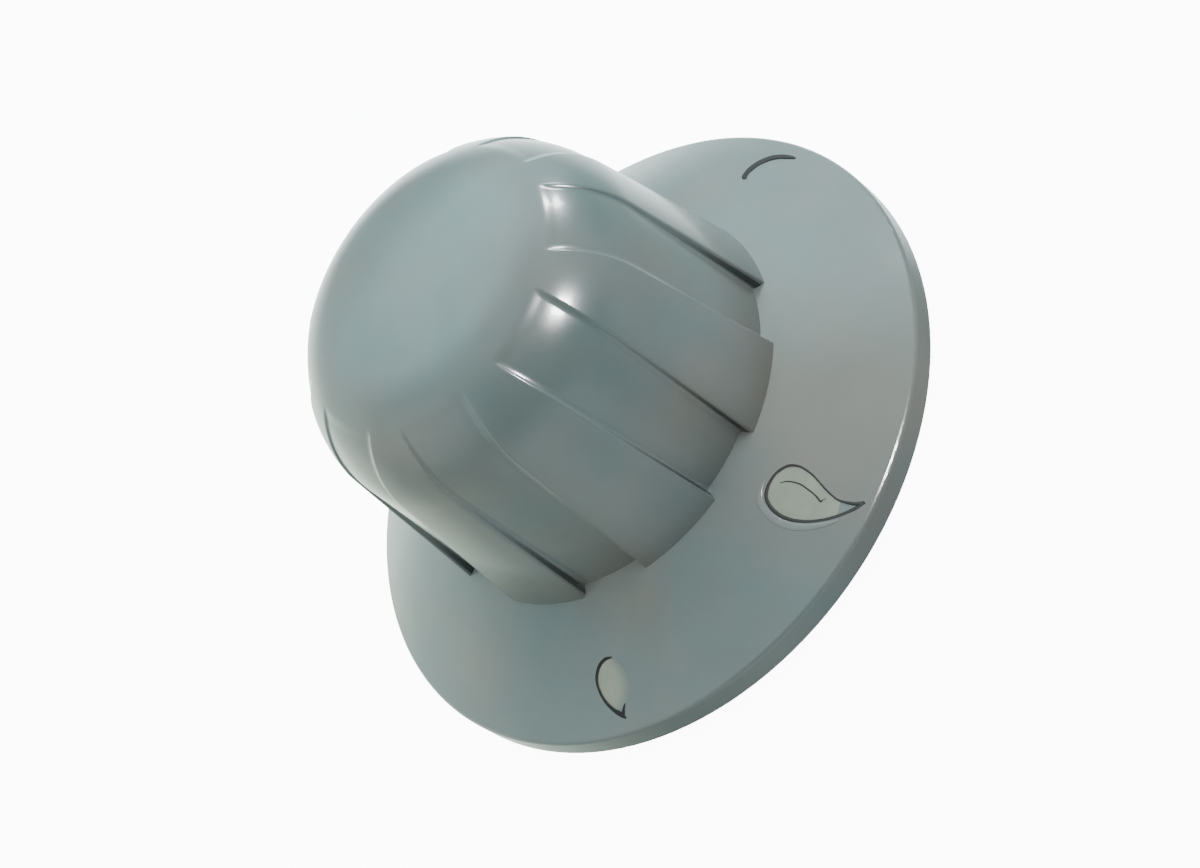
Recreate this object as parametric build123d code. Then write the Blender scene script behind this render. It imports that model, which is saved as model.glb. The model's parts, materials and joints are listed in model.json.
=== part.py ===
from build123d import *
import os
from math import acos, atan2, cos, degrees, hypot, pi, radians, sin, sqrt, tan

# Motorised actuator head with a fluted hand grip on a flared dial skirt.
# The origin is the centre of the base plate's underside, +Z runs up the
# spindle, and -Y is the front, where the large flame mark points.
# Lengths are in millimetres and angles in degrees.

# ---- dial --------------------------------------------------------------
DIAL_GAP = 0.8              # running gap under the skirt's rim
SKIRT_R = 50.0
RIM_HEIGHT = 3.7
RIM_WALL = 2.0
SKIRT_CROWN = 0.45           # how far the skirt's face stands above a straight cone
RIM_ROUND = 0.8
SKIRT_WALL = 2.2
SKIRT_BORE_R = 28.2
GRIP_BASE_R = 31.85
GRIP_BASE_RISE = 8.9        # the skirt's climb from its rim to the grip
WALL_TOP = (28.5, 39.9)     # radius and height where the shoulder starts
SHOULDER_R = 17.25
FACE_CROWN_R = 68.0
GRIP_WALL = 3.4
FLUTES = 8
FLUTE_WIDTH = 10.6          # where the grip meets the skirt
FLUTE_WIDTH_TOP = 11.6      # from the shoulder up
FLUTE_DEPTH = 1.7           # where the grip meets the skirt
FLUTE_DEPTH_TOP = 0.5       # where the shoulder starts
FLUTE_END = (22.35, 50.85)  # radius and height where the floor stops
MARK_DEPTH = 0.5
MARK_GAP = 0.12             # the marks sit this far below the skirt's face
STOP_RIB = 3.0              # width of the rib that meets the travel stop
STOP_RIB_RADIUS = 36.0
STOP_RIB_LOW, STOP_RIB_TOP = 3.2, 9.8

# ---- screws and holes --------------------------------------------------
PILOT_R = 0.85
SMALL_SCREW_R = 0.8
SCREW_R = 1.0
SCREW_CLEAR_R = 1.1
SKIRT_SCREW_RADIUS = 30.05
SKIRT_SCREW_SEAT = 11.6     # height above the dial's rim
SKIRT_SCREW_LENGTH = 5.5
SKIRT_SCREW_POCKET_R = 1.8
CORE_SCREW_RADIUS = 10.0
CORE_SCREW_LENGTH = 5.0
CORE_BOSS_R = 2.6

# ---- base and spindle --------------------------------------------------
BASE_R = 45.9
BASE_THICK = 2.4
SEAL_WIDTH, SEAL_THICK = 2.0, 1.0
FIXING_PCD = 83.0
FIXING_R = 1.65             # tapped M4
FIXING_BOSS_R, FIXING_BOSS_TOP = 3.2, 4.2
RELIEF_OUTER, RELIEF_INNER, RELIEF_DEPTH = 17.0, 12.0, 0.6
STEM_R = 3.05               # bore for a 6 mm valve stem
STEM_DEPTH = 14.0
STEM_KEY = 1.6
SPINDLE_FOOT = 0.4
JOURNAL_R, JOURNAL_TOP = 6.5, 3.15
SPINDLE_R = 5.0
SPINDLE_TOP = 52.4
SPINDLE_HALF_FLATS = 3.6
RUN = 0.05                  # radial running clearance
BUSH_R, BUSH_FLANGE_R = 9.0, 10.5
PLATE_BUSH_R, BRIDGE_FLANGE_R, FLANGE_THICK = 8.0, 9.2, 0.8
WASHER_R, WASHER_THICK = 9.2, 0.3
TRAVEL = 135.0              # dial travel each way from the middle
STOP_OUTER, STOP_INNER, STOP_TOP = 37.5, 34.5, 7.6
STOP_SLACK = 0.4

# ---- clutch between the output gear and the grip -----------------------
LIFT = 3.0                  # travel of the grip that frees the gear train
SLEEVE_R = 6.3
CROWN_ROOT_Z = 43.2
CROWN_HEIGHT = LIFT - 0.5
CROWN_TEETH = 6
CROWN_SLACK = 2.0           # degrees between neighbouring teeth
DOG_GAP = 0.2
CORE_LOW, CORE_TOP = 49.0, 51.5
CORE_R, CORE_HUB_R = 13.0, 7.5
CLIP_R, CLIP_LOW, CLIP_TOP = 6.0, 48.1, 48.9
CLIP_ROOM = 0.1

# ---- gear train --------------------------------------------------------
PRESSURE = radians(25)
ADDENDUM, DEDENDUM = 0.85, 1.15
OUT_MODULE, OUT_TEETH = 0.8, 40
SECOND_PINION, SECOND_WHEEL = 12, 40
SECOND_MODULE = 0.5
FIRST_PINION, FIRST_WHEEL = 12, 38
FIRST_MODULE = 0.4
MOTOR_PINION = 10
SENSOR_TEETH = 16
GEAR_Z, GEAR_TOP = 3.5, 7.0
SECOND_PINION_TOP, SECOND_WHEEL_TOP = 7.5, 9.5
FIRST_PINION_LOW, FIRST_PINION_TOP, FIRST_WHEEL_TOP = 7.4, 10.1, 11.7
MOTOR_PINION_LOW, MOTOR_PINION_TOP = 9.7, 12.1
HUB_LOW, HUB_TOP = 2.7, 12.3
SECOND_HUB_R, FIRST_HUB_R, SENSOR_HUB_R = 2.2, 1.9, 2.4
WEB_HOLES, WEB_HOLE_R, WEB_RADIUS = 5, 2.6, 10.6
PIN_R, PIN_LOW, PIN_SEAT_R, PIN_SEAT_TOP = 1.0, 0.9, 2.4, 2.6
SENSOR_SHAFT_R, SENSOR_SHAFT_LOW, SENSOR_SHAFT_TOP = 1.5, 1.2, 21.4
FINE_SLACK, SLACK = 0.04, 0.05

SECOND_AT = -60.0           # angle of the second-stage gear's pin
FIRST_RADIUS = 19.2
MOTOR_RADIUS = 15.5
SENSOR_AT = 90.0

# ---- frame above the base ----------------------------------------------
PLATE_Z, PLATE_THICK, PLATE_R = 12.6, 1.6, 26.6
PLATE_TOP = PLATE_Z + PLATE_THICK
BRIDGE_Z, BRIDGE_THICK = 40.0, 1.8
BRIDGE_TOP = BRIDGE_Z + BRIDGE_THICK
BRIDGE_HUB_R, BRIDGE_ARM, BRIDGE_END_R = 10.6, 5.0, 3.0
PILLAR_RADIUS, PILLAR_ANGLES = 22.5, (48, 140, 238)
PILLAR_R = 3.0
BASE_SCREW_SEAT, BASE_SCREW_POCKET_R = 1.2, 2.3
POST_RADIUS, POST_ANGLES = 20.0, (62, 195, 285)
POST_R, POST_SCREW_DEPTH = 2.4, 6.0
SPACER_RADIUS, SPACER_ANGLES = 21.0, (110, 165, 225)
SPACER_R, SPACER_BORE_R = 2.0, 0.9

# ---- motor -------------------------------------------------------------
MOTOR_R, MOTOR_WALL, MOTOR_LENGTH = 8.0, 0.8, 22.0
MOTOR_TOP = PLATE_TOP + MOTOR_LENGTH
MOTOR_SCREW_OFFSET = 4.8
SHAFT_R, SHAFT_TOP = 0.75, 37.6
SHAFT_RUN = 0.03
STACK_R, STACK_LOW, STACK_TOP = 5.2, 18.5, 31.0
STACK_SLOTS, STACK_SLOT_WIDTH = 5, 1.0
DRUM_R, DRUM_LOW, DRUM_TOP = 2.0, 31.6, 34.6
MAGNET_INNER, MAGNET_LOW, MAGNET_TOP, MAGNET_SPAN = 5.8, 17.5, 32.0, 140
BEARING_R, BEARING_NOSE_R, BEARING_THICK = 3.0, 1.6, 2.0
PLATE_MOTOR_HOLE_R = 3.2
CAP_THICK, CAP_HUB_R, CAP_HUB_RISE = 1.4, 2.4, 0.8
TERMINAL_X, TERMINAL_THICK, TERMINAL_WIDTH = 5.0, 0.5, 2.0
TERMINAL_RISE, TERMINAL_EYE_R = 3.4, 0.5

# ---- electronics -------------------------------------------------------
BOARD_Z, BOARD_THICK = 16.6, 1.6
BOARD_TOP = BOARD_Z + BOARD_THICK
BOARD_OUTER, BOARD_INNER = 25.0, 9.8
BOARD_START, BOARD_JOIN, BOARD_STOP = 73, 165, 268
SENSOR_BODY, SENSOR_BODY_RISE = 7.6, 3.4
CHIP_SIZE, CHIP_RADIUS, CHIP_ANGLE = 7.0, 14.5, 140
DRIVER_SIZE, DRIVER_RADIUS, DRIVER_ANGLE = (6.0, 4.0), 14.0, 215
CAPACITOR_R, CAPACITOR_RISE = 3.1, 8.0
CAPACITOR_RADIUS, CAPACITOR_ANGLE = 17.5, 252
SOCKET_X = -22.0
SOCKET_SIZE, SOCKET_LOW, SOCKET_TOP = (8.0, 12.0), 0.4, 12.4
SOCKET_WALL, SOCKET_CAVITY_TOP = 1.2, 9.6
CONTACT_R, CONTACT_LOW, CONTACT_PITCH = 0.4, 5.2, 3.0

os.makedirs("parts", exist_ok=True)


# ---- small helpers -----------------------------------------------------
def save(node, shape):
    export_step(shape, f"parts/{node}.step")


def polar(radius, angle):
    return (radius * cos(radians(angle)), radius * sin(radians(angle)))


def disc(radius, low, high, at=(0, 0)):
    body = Cylinder(radius, high - low, align=(Align.CENTER, Align.CENTER, Align.MIN))
    return Pos(at[0], at[1], low) * body


def hole(radius, low, high, at=(0, 0)):
    """A cutting disc that runs 1 mm past both faces."""
    return disc(radius, low - 1, high + 1, at)


def tube(outer, inner, low, high, at=(0, 0)):
    return disc(outer, low, high, at) - hole(inner, low, high, at)


def block(size_x, size_y, low, high, at=(0, 0), turn=0):
    body = Box(size_x, size_y, high - low, align=(Align.CENTER, Align.CENTER, Align.MIN))
    return Pos(at[0], at[1], low) * Rot(0, 0, turn) * body


def lathe(*edges):
    """Revolve a closed outline of (radius, height) edges about Z."""
    return revolve(Plane.XZ * make_face(edges), Axis.Z)


def lathe_points(*points):
    return lathe(Polyline(*points, close=True))


def ring_sector(outer, inner, low, high, start, stop):
    """A slice of a ring between two angles, at most 180 degrees wide."""
    arc = [polar(outer * 2, start + (stop - start) * i / 4) for i in range(5)]
    wedge = extrude(make_face(Polyline((0, 0), *arc, close=True)), high - low)
    return tube(outer, inner, low, high) & (Pos(0, 0, low) * wedge)


def flatted(radius, half_flats, low, high):
    return disc(radius, low, high) & block(4 * radius, 2 * half_flats, low, high)


def screw(shank_r, head_r, head_height, under_head, tip, at, slot=0.5):
    """A cross-recessed screw; its head is on the side away from its tip."""
    outward = 1 if tip < under_head else -1
    crown = under_head + outward * head_height
    shank = disc(shank_r, min(tip, under_head), max(tip, under_head), at)
    head = disc(head_r, min(crown, under_head), max(crown, under_head), at)
    depth = head_height * 0.45
    low = min(crown, crown - outward * depth)
    recess = block(head_r * 1.3, slot, low, low + depth, at)
    recess += block(slot, head_r * 1.3, low, low + depth, at)
    return shank + head - recess


# ---- shape of the dial, as (radius, height) above its own rim ----------
SKIRT_SLOPE = GRIP_BASE_RISE / (SKIRT_R - GRIP_BASE_R)


def skirt_height(radius):
    """Height of the skirt's face, a cone with a slight crown."""
    share = (SKIRT_R - radius) / (SKIRT_R - GRIP_BASE_R)
    return RIM_HEIGHT + GRIP_BASE_RISE * share + 4 * SKIRT_CROWN * share * (1 - share)


def skirt_arc(lift=0):
    """The crowned face's outline, from the rim in to the bore."""
    radii = (SKIRT_R, (SKIRT_R + SKIRT_BORE_R) / 2, SKIRT_BORE_R)
    return ThreePointArc(*[(radius, skirt_height(radius) + lift) for radius in radii])


GRIP_BASE = (GRIP_BASE_R, skirt_height(GRIP_BASE_R))


def grip_outline(inset):
    """Corner and arc points of the grip's outline, moved inwards."""
    run = WALL_TOP[0] - GRIP_BASE[0]
    rise = WALL_TOP[1] - GRIP_BASE[1]
    length = hypot(run, rise)
    inward = (-rise / length, run / length)
    shoulder = (WALL_TOP[0] + SHOULDER_R * inward[0], WALL_TOP[1] + SHOULDER_R * inward[1])
    reach = FACE_CROWN_R - SHOULDER_R
    crown_z = shoulder[1] - sqrt(reach**2 - shoulder[0] ** 2)
    toward = (shoulder[0] / reach, (shoulder[1] - crown_z) / reach)
    face_r = FACE_CROWN_R - inset
    base = (GRIP_BASE[0] + inset * inward[0], GRIP_BASE[1] + inset * inward[1])
    wall = (WALL_TOP[0] + inset * inward[0], WALL_TOP[1] + inset * inward[1])
    edge = (toward[0] * face_r, crown_z + toward[1] * face_r)
    across = wall[0] + edge[0] - 2 * shoulder[0]
    along = wall[1] + edge[1] - 2 * shoulder[1]
    scale = (SHOULDER_R - inset) / hypot(across, along)
    bend = (shoulder[0] + across * scale, shoulder[1] + along * scale)
    half = atan2(toward[0], toward[1]) / 2
    crown = (face_r * sin(half), crown_z + face_r * cos(half))
    top = (0, crown_z + face_r)
    return base, wall, bend, edge, crown, top


def grip_solid(inset, foot):
    base, wall, bend, edge, crown, top = grip_outline(inset)
    slope = (base[0] - wall[0]) / (wall[1] - base[1])
    heel = (base[0] + slope * (base[1] - foot), foot)
    return lathe(
        Line((0, foot), heel),
        Line(heel, wall),
        ThreePointArc(wall, bend, edge),
        ThreePointArc(edge, crown, top),
        Line(top, (0, foot)),
    )


def under_skirt(lift):
    """Everything under the skirt's upper surface, raised by lift."""
    wide = SKIRT_R + 5
    deep = -20
    face = skirt_arc(lift)
    out = Polyline((0, deep), (wide, deep), (wide, skirt_height(wide) + lift), face @ 0)
    back = Polyline(face @ 1, (0, skirt_height(SKIRT_BORE_R) + lift), (0, deep))
    return lathe(out, face, back)


def flute_channel(low, high):
    """One channel right across the grip, widening up to the shoulder."""
    widen = (FLUTE_WIDTH_TOP - FLUTE_WIDTH) / (WALL_TOP[1] - GRIP_BASE[1]) / 2
    foot = FLUTE_WIDTH / 2 - widen * (GRIP_BASE[1] - low)
    half = FLUTE_WIDTH_TOP / 2
    side = Polyline(
        (-foot, low),
        (foot, low),
        (half, WALL_TOP[1]),
        (half, high),
        (-half, high),
        (-half, WALL_TOP[1]),
        close=True,
    )
    return extrude(Plane.YZ * make_face(side), 2 * GRIP_BASE_R, both=True)


def flute_cutters():
    """Channels around a core whose arc carries their floor on to the shoulder."""
    foot, top = 1.0, 70.0
    floor_base = (GRIP_BASE_R - FLUTE_DEPTH, GRIP_BASE[1])
    floor_top = (WALL_TOP[0] - FLUTE_DEPTH_TOP, WALL_TOP[1])
    rise = (floor_top[0] - floor_base[0], floor_top[1] - floor_base[1])
    heel = (floor_base[0] - rise[0] / rise[1] * GRIP_BASE[1], 0)
    core = lathe(
        Line((0, 0), heel),
        Line(heel, floor_top),
        TangentArc([floor_top, FLUTE_END], tangent=rise),
        Line(FLUTE_END, (FLUTE_END[0], top)),
        Line((FLUTE_END[0], top), (0, top)),
        Line((0, top), (0, 0)),
    )
    first = flute_channel(foot, top - 1)
    channels = first
    for i in range(1, FLUTES // 2):
        channels += Rot(0, 0, i * 360 / FLUTES) * first
    return channels - core


def in_place(shape):
    return Pos(0, 0, DIAL_GAP) * shape


# ---- dial skirt, grip and flame marks ----------------------------------
# Outlines of the marks: distance out from the axis, and sideways.
LARGE_FLAME = [(36.85, 0.1), (37.5, 3.0), (39.4, 4.15), (42.8, 3.3), (45.8, 2.5), (48.6, 3.85)]
LARGE_FLAME_BACK = [(47.2, 1.25), (45.2, -1.0), (42.6, -2.7), (40.1, -3.2), (37.6, -2.1), (36.85, 0.1)]
MEDIUM_FLAME = [(40.2, 0.6), (40.5, -0.7), (42.2, -2.35), (44.6, -2.2), (46.8, -0.8), (48.1, 0.8)]
MEDIUM_FLAME_BACK = [(46.4, 1.5), (44.9, 2.6), (43.2, 2.9), (41.5, 2.3), (40.2, 0.6)]
SMALL_FLAME = [(40.9, 0.9), (42.2, 2.3), (44.4, 2.5), (46.4, 1.5), (47.5, -0.8), (47.6, -3.0)]
SMALL_FLAME_BACK = [(46.0, -3.3), (44.2, -1.6), (42.4, -0.2), (40.9, 0.9)]
MARKS = {
    "large_flame_mark": (LARGE_FLAME, LARGE_FLAME_BACK, -90),
    "medium_flame_mark": (MEDIUM_FLAME, MEDIUM_FLAME_BACK, -143),
    "small_flame_mark": (SMALL_FLAME, SMALL_FLAME_BACK, 0),
}


def mark_prism(side, back, angle):
    outline = make_face([Spline(*side), Spline(side[-1], *back)])
    return Rot(0, 0, angle) * extrude(outline, 30)


def mark_band(top, bottom):
    return under_skirt(top) - under_skirt(bottom)


def make_marks():
    for node, (side, back, angle) in MARKS.items():
        prism = mark_prism(side, back, angle)
        save(node, in_place(prism & mark_band(-MARK_GAP, -MARK_DEPTH)))


def skirt_screw_places():
    return [polar(SKIRT_SCREW_RADIUS, 22.5 + 90 * i) for i in range(4)]


def core_screw_places():
    return [polar(CORE_SCREW_RADIUS, 30 + 120 * i) for i in range(3)]


def make_dial_skirt():
    under = SKIRT_WALL * sqrt(1 + SKIRT_SLOPE**2)
    inner_rim = SKIRT_R - RIM_WALL
    face = skirt_arc()
    back = Polyline(
        face @ 1,
        (SKIRT_BORE_R, skirt_height(SKIRT_BORE_R) - under),
        (inner_rim, skirt_height(inner_rim) - under),
        (inner_rim, 0),
        (SKIRT_R, 0),
        face @ 0,
    )
    skirt = lathe(face, back)
    rim_edge = skirt.edges().group_by(lambda edge: round((edge @ 0).Z - RIM_HEIGHT, 3) ** 2)[0]
    rim_edge = rim_edge.filter_by(lambda edge: (edge @ 0.5).Z < RIM_HEIGHT + 0.01)
    skirt = fillet(rim_edge, RIM_ROUND)
    skirt += block(STOP_RIB, STOP_RIB, STOP_RIB_LOW, STOP_RIB_TOP, at=(0, STOP_RIB_RADIUS))
    for at in skirt_screw_places():
        skirt -= disc(SCREW_CLEAR_R, 5, 20, at)
        skirt -= disc(SKIRT_SCREW_POCKET_R, 5, SKIRT_SCREW_SEAT, at)
    for side, back, angle in MARKS.values():
        skirt -= mark_prism(side, back, angle) & mark_band(1, -MARK_DEPTH)
    save("dial_skirt", in_place(skirt))


def make_grip_shell():
    core_seat = CORE_TOP - DIAL_GAP
    grip = grip_solid(0, 5) - under_skirt(0) - grip_solid(GRIP_WALL, 4)
    grip -= flute_cutters()
    inside = grip_solid(GRIP_WALL / 2, 5)
    for at in core_screw_places():
        grip += disc(CORE_BOSS_R, core_seat, core_seat + 10, at) & inside
        grip -= disc(PILOT_R, core_seat - 1, core_seat + 3.3, at)
    for at in skirt_screw_places():
        grip -= disc(PILOT_R, 5, SKIRT_SCREW_SEAT + SKIRT_SCREW_LENGTH + 0.4, at)
    save("grip_shell", in_place(grip))


def make_dial_screws():
    seat = DIAL_GAP + SKIRT_SCREW_SEAT
    tip = seat + SKIRT_SCREW_LENGTH
    screws = [screw(SMALL_SCREW_R, 1.65, 1.1, seat, tip, at) for at in skirt_screw_places()]
    save("skirt_screws", Compound(children=screws))


# ---- drive core under the grip's crown ---------------------------------
def crown_teeth(low, high, offset):
    pitch = 360 / CROWN_TEETH
    half = (pitch / 2 - CROWN_SLACK) / 2
    bore = SPINDLE_R + RUN
    middles = [offset + i * pitch for i in range(CROWN_TEETH)]
    return [ring_sector(SLEEVE_R, bore, low, high, middle - half, middle + half) for middle in middles]


def make_drive_core():
    hanging = CROWN_ROOT_Z + CROWN_HEIGHT + 0.5
    core = disc(CORE_R, CORE_LOW, CORE_TOP) + disc(CORE_HUB_R, hanging, CORE_LOW)
    core -= flatted(SPINDLE_R + RUN, SPINDLE_HALF_FLATS + RUN, hanging - 1, CORE_TOP + 1)
    core -= disc(CLIP_R + CLIP_ROOM, CLIP_LOW - 2 * CLIP_ROOM, CLIP_TOP + 2 * CLIP_ROOM)
    for tooth in crown_teeth(CROWN_ROOT_Z + DOG_GAP, hanging, 180 / CROWN_TEETH):
        core += tooth
    for at in core_screw_places():
        core -= hole(1.15, CORE_LOW, CORE_TOP, at)
    save("drive_core", core)
    tip = CORE_LOW + CORE_SCREW_LENGTH
    screws = [screw(SMALL_SCREW_R, 1.9, 1.2, CORE_LOW, tip, at) for at in core_screw_places()]
    save("core_screws", Compound(children=screws))
    clip = tube(CLIP_R, SPINDLE_R + 0.08, CLIP_LOW, CLIP_TOP)
    clip -= block(2 * CLIP_R, 3.0, CLIP_LOW - 1, CLIP_TOP + 1, at=(CLIP_R, 0))
    save("detent_clip", clip)


# ---- gears -------------------------------------------------------------
def involute(angle):
    return tan(angle) - angle


def gear_outline(module, teeth, turn, slack):
    """Tooth outline with straight-chorded involute flanks."""
    pitch = module * teeth / 2
    base = pitch * cos(PRESSURE)
    root = pitch - DEDENDUM * module
    tip = pitch + ADDENDUM * module
    half = pi / (2 * teeth) - slack / (2 * pitch) + involute(PRESSURE)
    start = max(base, root)
    radii = [start + (tip - start) * i / 3 for i in range(4)]
    rise = [(root, half)] if root < base else []
    rise += [(r, half - involute(acos(base / r))) for r in radii]
    points = []
    for i in range(teeth):
        middle = radians(turn) + 2 * pi * i / teeth
        for radius, spread in rise:
            points.append((radius * cos(middle - spread), radius * sin(middle - spread)))
        for radius, spread in reversed(rise):
            points.append((radius * cos(middle + spread), radius * sin(middle + spread)))
    return points


def gear(module, teeth, turn, low, high, slack=SLACK):
    face = make_face(Polyline(*gear_outline(module, teeth, turn, slack), close=True))
    return Pos(0, 0, low) * extrude(face, high - low)


def meshed_turn(from_turn, from_teeth, direction, teeth):
    """Turn of a gear whose space meets the other gear's tooth."""
    phase = (direction - from_turn) * from_teeth / 360
    return direction + 180 - (0.5 - phase) * 360 / teeth


def pitch_r(module, teeth):
    return module * teeth / 2


def triangle_angle(near, other, far):
    """Angle at the origin between sides near and other, facing far."""
    return degrees(acos((near**2 + other**2 - far**2) / (2 * near * other)))


SECOND_RADIUS = pitch_r(OUT_MODULE, OUT_TEETH + SECOND_PINION)
FIRST_GAP = pitch_r(SECOND_MODULE, SECOND_WHEEL + FIRST_PINION)
MOTOR_GAP = pitch_r(FIRST_MODULE, FIRST_WHEEL + MOTOR_PINION)
FIRST_AT = SECOND_AT + triangle_angle(SECOND_RADIUS, FIRST_RADIUS, FIRST_GAP)
MOTOR_AT = FIRST_AT + triangle_angle(FIRST_RADIUS, MOTOR_RADIUS, MOTOR_GAP)
SENSOR_RADIUS = pitch_r(OUT_MODULE, OUT_TEETH + SENSOR_TEETH)
SECOND_XY = polar(SECOND_RADIUS, SECOND_AT)
FIRST_XY = polar(FIRST_RADIUS, FIRST_AT)
MOTOR_XY = polar(MOTOR_RADIUS, MOTOR_AT)
SENSOR_XY = polar(SENSOR_RADIUS, SENSOR_AT)
PIN_PLACES = (SECOND_XY, FIRST_XY)


def heading(start, end):
    return degrees(atan2(end[1] - start[1], end[0] - start[0]))


def make_output_gear():
    wheel = gear(OUT_MODULE, OUT_TEETH, 0, GEAR_Z, GEAR_TOP)
    wheel += disc(SLEEVE_R, GEAR_Z, CROWN_ROOT_Z)
    wheel -= hole(SPINDLE_R + RUN, GEAR_Z, CROWN_ROOT_Z)
    for tooth in crown_teeth(CROWN_ROOT_Z, CROWN_ROOT_Z + CROWN_HEIGHT, 0):
        wheel += tooth
    for i in range(WEB_HOLES):
        at = polar(WEB_RADIUS, 36 + i * 360 / WEB_HOLES)
        wheel -= hole(WEB_HOLE_R, GEAR_Z, GEAR_TOP, at)
    save("output_gear", wheel)


def make_second_stage_gear():
    turn = meshed_turn(0, OUT_TEETH, SECOND_AT, SECOND_PINION)
    body = gear(OUT_MODULE, SECOND_PINION, turn, GEAR_Z, SECOND_PINION_TOP)
    body += gear(SECOND_MODULE, SECOND_WHEEL, 0, SECOND_PINION_TOP, SECOND_WHEEL_TOP)
    body += disc(SECOND_HUB_R, HUB_LOW, HUB_TOP)
    body -= hole(PIN_R + RUN, HUB_LOW, HUB_TOP)
    save("second_stage_gear", Pos(*SECOND_XY, 0) * body)


def make_first_stage_gear():
    turn = meshed_turn(0, SECOND_WHEEL, heading(SECOND_XY, FIRST_XY), FIRST_PINION)
    body = gear(SECOND_MODULE, FIRST_PINION, turn, FIRST_PINION_LOW, FIRST_PINION_TOP, FINE_SLACK)
    body += gear(FIRST_MODULE, FIRST_WHEEL, 0, FIRST_PINION_TOP, FIRST_WHEEL_TOP, FINE_SLACK)
    body += disc(FIRST_HUB_R, HUB_LOW, HUB_TOP)
    body -= hole(PIN_R + RUN, HUB_LOW, HUB_TOP)
    save("first_stage_gear", Pos(*FIRST_XY, 0) * body)


def make_sensor_gear():
    turn = meshed_turn(0, OUT_TEETH, SENSOR_AT, SENSOR_TEETH)
    body = gear(OUT_MODULE, SENSOR_TEETH, turn, GEAR_Z, GEAR_TOP)
    body += disc(SENSOR_HUB_R, HUB_LOW, HUB_TOP)
    body += disc(SENSOR_SHAFT_R, SENSOR_SHAFT_LOW, SENSOR_SHAFT_TOP)
    save("sensor_gear", Pos(*SENSOR_XY, 0) * body)


# ---- spindle -----------------------------------------------------------
def make_spindle():
    flat_low = CROWN_ROOT_Z + CROWN_HEIGHT
    stem_top = SPINDLE_FOOT + STEM_DEPTH
    body = disc(JOURNAL_R, SPINDLE_FOOT, JOURNAL_TOP) + disc(SPINDLE_R, JOURNAL_TOP, flat_low)
    body += flatted(SPINDLE_R, SPINDLE_HALF_FLATS, flat_low, SPINDLE_TOP)
    body -= disc(STEM_R, 0, stem_top)
    body -= block(STEM_KEY, STEM_KEY, 0, stem_top, at=(STEM_R, 0))
    body = chamfer(body.edges().group_by(Axis.Z)[-1], 0.5)
    save("spindle", body)


# ---- motor -------------------------------------------------------------
def motor_screw_places():
    across = heading(FIRST_XY, MOTOR_XY) + 90
    places = []
    for side in (-1, 1):
        dx, dy = polar(MOTOR_SCREW_OFFSET * side, across)
        places.append((MOTOR_XY[0] + dx, MOTOR_XY[1] + dy))
    return places


def make_motor_drive():
    turn = meshed_turn(0, FIRST_WHEEL, heading(FIRST_XY, MOTOR_XY), MOTOR_PINION)
    pinion = gear(FIRST_MODULE, MOTOR_PINION, turn, MOTOR_PINION_LOW, MOTOR_PINION_TOP, FINE_SLACK)
    pinion -= hole(SHAFT_R, MOTOR_PINION_LOW, MOTOR_PINION_TOP)
    save("motor_pinion", Pos(*MOTOR_XY, 0) * pinion)
    save("motor_shaft", disc(SHAFT_R, MOTOR_PINION_LOW, SHAFT_TOP, MOTOR_XY))
    stack = tube(STACK_R, SHAFT_R, STACK_LOW, STACK_TOP)
    for i in range(STACK_SLOTS):
        turn = i * 360 / STACK_SLOTS
        at = polar(STACK_R - 0.6, turn)
        stack -= block(3.0, STACK_SLOT_WIDTH, STACK_LOW - 1, STACK_TOP + 1, at, turn)
    save("motor_armature", Pos(*MOTOR_XY, 0) * stack)
    save("motor_commutator", tube(DRUM_R, SHAFT_R, DRUM_LOW, DRUM_TOP, MOTOR_XY))


def make_motor():
    inside = MOTOR_R - MOTOR_WALL
    floor = PLATE_TOP + MOTOR_WALL
    can = disc(MOTOR_R, PLATE_TOP, MOTOR_TOP, MOTOR_XY) - disc(inside, floor, MOTOR_TOP + 1, MOTOR_XY)
    can -= hole(BEARING_NOSE_R, PLATE_TOP, floor, MOTOR_XY)
    for at in motor_screw_places():
        can -= hole(PILOT_R, PLATE_TOP, floor, at)
    save("motor_can", can)
    arcs = []
    for start in (20, 200):
        stop = start + MAGNET_SPAN
        arc = ring_sector(inside, MAGNET_INNER, MAGNET_LOW, MAGNET_TOP, start, stop)
        arcs.append(Pos(*MOTOR_XY, 0) * arc)
    save("motor_magnets", Compound(children=arcs))
    bore = SHAFT_R + SHAFT_RUN
    bearing_top = PLATE_TOP + BEARING_THICK
    bearing = tube(BEARING_NOSE_R, bore, PLATE_TOP, bearing_top, MOTOR_XY)
    bearing += tube(BEARING_R, bore, floor, bearing_top, MOTOR_XY)
    save("motor_bearing", bearing)
    cap_top = MOTOR_TOP + CAP_THICK
    cap = disc(inside, MOTOR_TOP - 1, MOTOR_TOP, MOTOR_XY) + disc(MOTOR_R, MOTOR_TOP, cap_top, MOTOR_XY)
    cap += disc(CAP_HUB_R, cap_top, cap_top + CAP_HUB_RISE, MOTOR_XY)
    cap -= disc(bore, MOTOR_TOP - 2, cap_top + 0.1, MOTOR_XY)
    terminals = []
    for x in (-TERMINAL_X, TERMINAL_X):
        slot = block(TERMINAL_THICK + 0.2, TERMINAL_WIDTH + 0.2, MOTOR_TOP - 2, cap_top + 1, at=(x, 0))
        cap -= Pos(*MOTOR_XY, 0) * slot
        terminals.append(Pos(*MOTOR_XY, 0) * brush_tab(x))
    save("motor_end_cap", cap)
    save("motor_terminals", Compound(children=terminals))


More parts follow.
